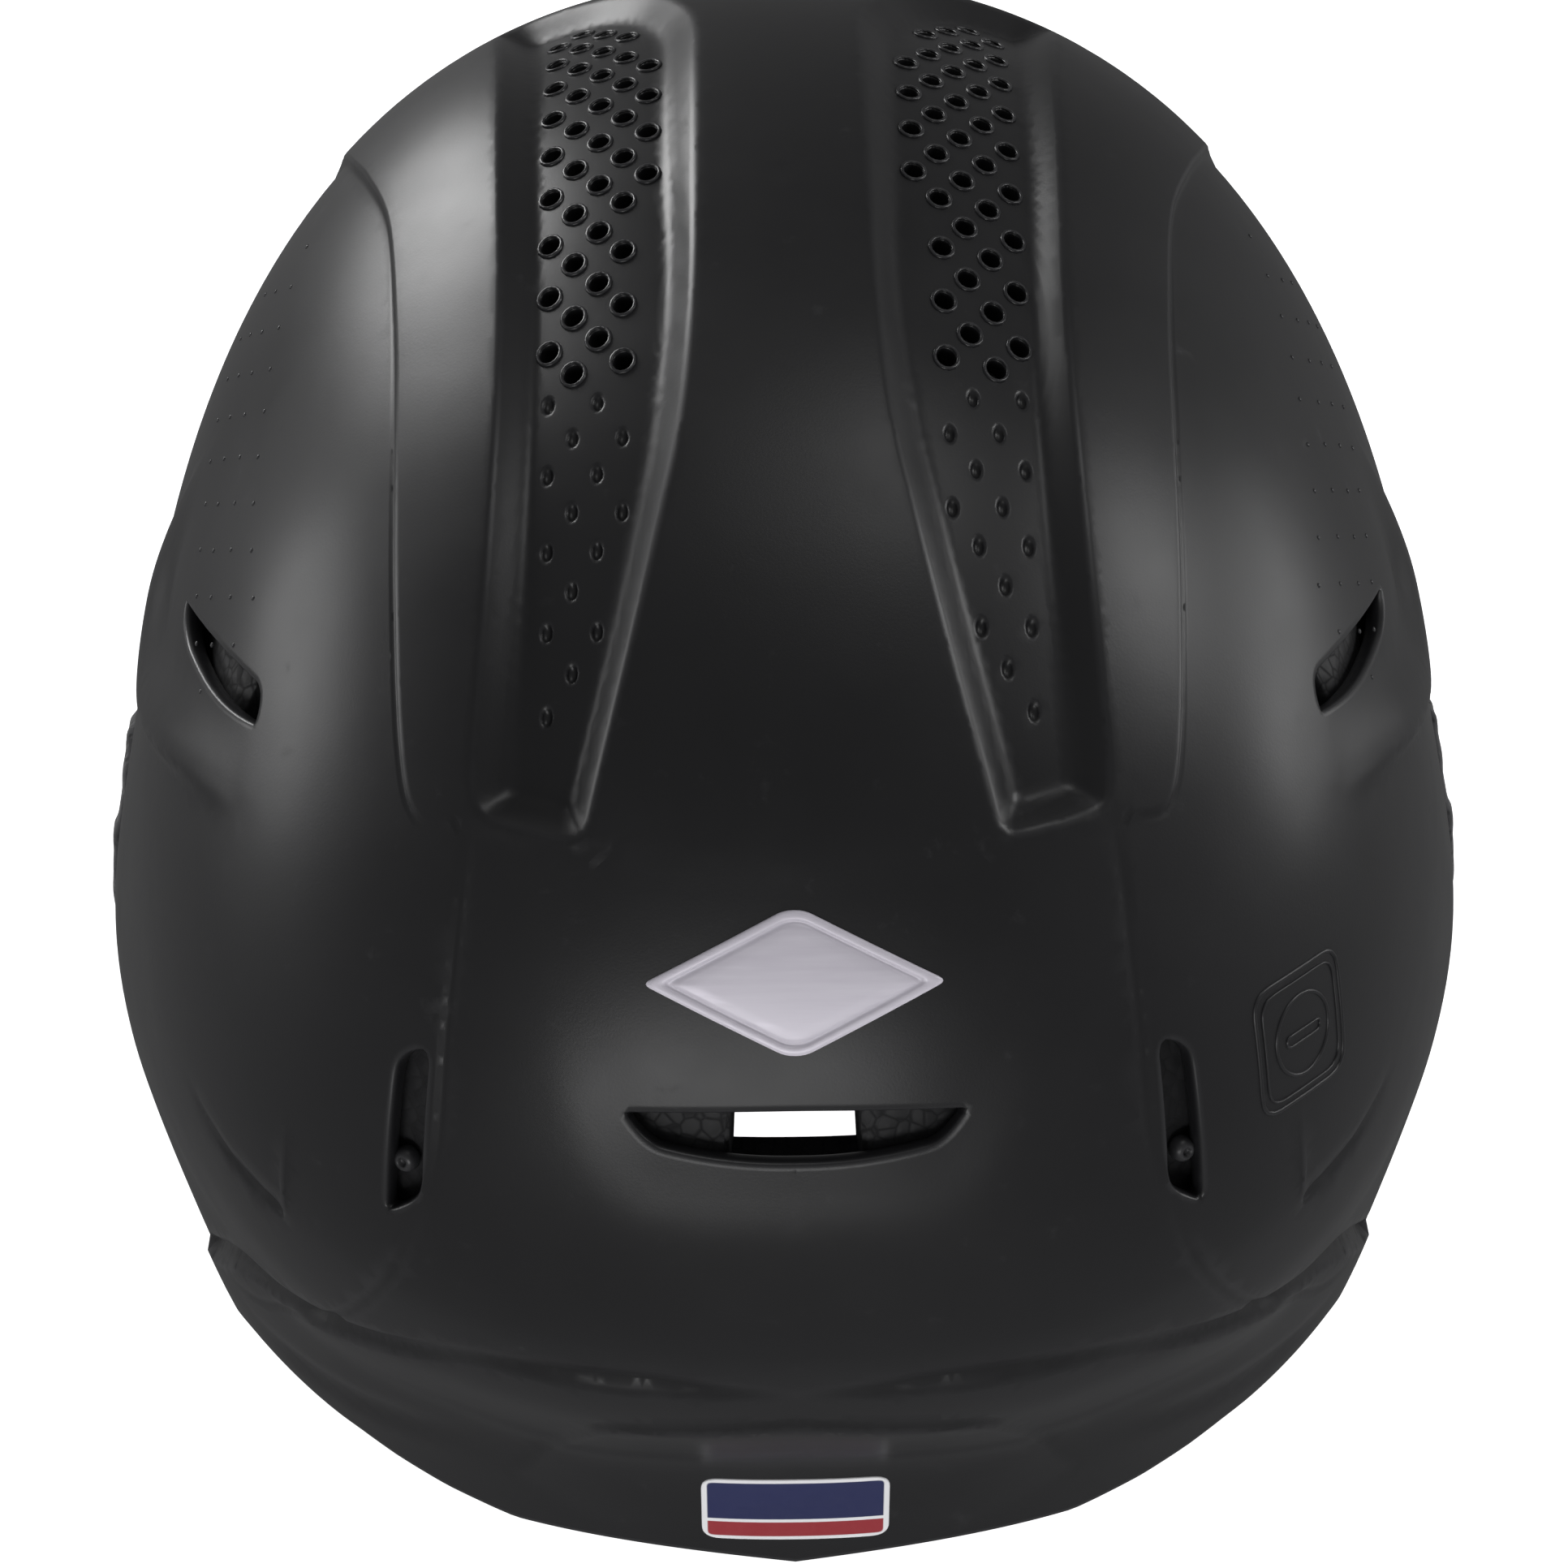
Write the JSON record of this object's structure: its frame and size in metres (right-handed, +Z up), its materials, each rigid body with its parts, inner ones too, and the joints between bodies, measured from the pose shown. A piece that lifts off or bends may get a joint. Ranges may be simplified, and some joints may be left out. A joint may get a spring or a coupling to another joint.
{
  "type": "batting helmet",
  "caption": "Hard-shell batting helmet with two ear flaps, a short bill, perforated crown channels, vent slots and a padded foam lining.",
  "frame": {"origin": "on the surface that the ear flaps stand on, under the middle of the whole helmet", "axes": "+Z up through the crown, -Y the way the wearer faces, +X the wearer's left"},
  "size_m": [0.237, 0.3297, 0.218],
  "materials": {
    "shell": "matte black ABS with a fine moulded texture",
    "liner": "black bead foam",
    "padding": "charcoal knit over soft foam",
    "ear_padding": "black textured soft foam",
    "hook": "black hook tape",
    "pin": "moulded nylon",
    "badge": "satin silver with a pale outline",
    "label": "printed vinyl sticker, plain bands"
  },
  "bodies": {
    "root": {"outer_shell": "shell", "front_liner": "liner", "crown_liner": "liner", "rear_liner": "liner", "side_liner_left": "liner", "side_liner_right": "liner", "brow_pad": "padding", "crown_pad": "padding", "rear_pad_left": "padding", "rear_pad_right": "padding", "side_pad_left": "padding", "side_pad_right": "padding", "ear_pad_left": "ear_padding", "ear_pad_right": "ear_padding", "jaw_pad_left": "ear_padding", "jaw_pad_right": "ear_padding", "brow_hook_tab": "hook", "crown_hook_tab": "hook", "rear_hook_tab_left": "hook", "rear_hook_tab_right": "hook", "side_hook_tab_left": "hook", "side_hook_tab_right": "hook", "liner_pin_left": "pin", "liner_pin_right": "pin", "rear_badge": "badge", "nape_label": "label"}
  },
  "joints": []
}
